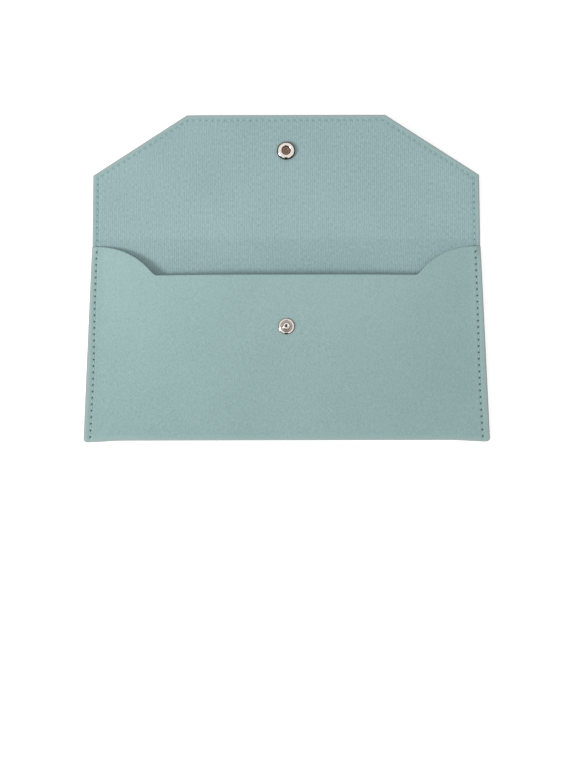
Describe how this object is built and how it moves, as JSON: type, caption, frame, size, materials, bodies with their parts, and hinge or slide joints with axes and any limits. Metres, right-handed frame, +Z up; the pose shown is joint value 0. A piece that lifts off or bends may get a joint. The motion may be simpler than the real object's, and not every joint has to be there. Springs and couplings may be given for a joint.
{
  "type": "cash envelope wallet",
  "caption": "Slim leather envelope wallet for banknotes, lying open on its back: stitched pocket with a notched mouth, lined flap with cut corners, ring spring snap.",
  "frame": {"origin": "under the middle of the open wallet, on the surface it lies on", "axes": "+X along the width, +Y from the bottom edge towards the flap's tip, +Z up out of the front"},
  "size_m": [0.2, 0.1638, 0.0096],
  "materials": {
    "leather": "soft matt, very fine smooth grain",
    "lining": "matt, embossed with fine upright ribs",
    "thread": "bonded polyester, a little darker than the leather",
    "nickel": "polished warm nickel plate",
    "steel": "bright spring wire"
  },
  "bodies": {
    "pocket": {"back_panel": "leather", "back_lining": "lining", "bottom_fold": "leather", "front_panel": "leather", "front_lining": "lining", "side_thread_left": "thread", "side_thread_right": "thread", "back_thread_left": "thread", "back_thread_right": "thread", "snap_stud": "nickel", "stud_rivet": "nickel"},
    "fold": {"fold_strip": "leather"},
    "flap": {"flap_panel": "leather", "flap_lining": "lining", "flap_thread": "thread", "flap_bobbin_thread": "thread", "snap_cap": "nickel", "cap_rivet": "nickel", "snap_socket": "nickel", "socket_spring": "steel"}
  },
  "joints": [
    {"name": "body_crease", "type": "hinge", "parent": "pocket", "child": "fold", "pos_m": [0, 0.0156, 0.0015], "axis": [1, 0, 0], "range_deg": [0, 86.8]},
    {"name": "flap_crease", "type": "hinge", "parent": "fold", "child": "flap", "pos_m": [0, 0.022, 0.00165], "axis": [1, 0, 0], "range_deg": [0, 86.8]}
  ],
  "couplings": [
    {"joint": "flap_crease", "follows": "body_crease", "ratio": 1}
  ]
}
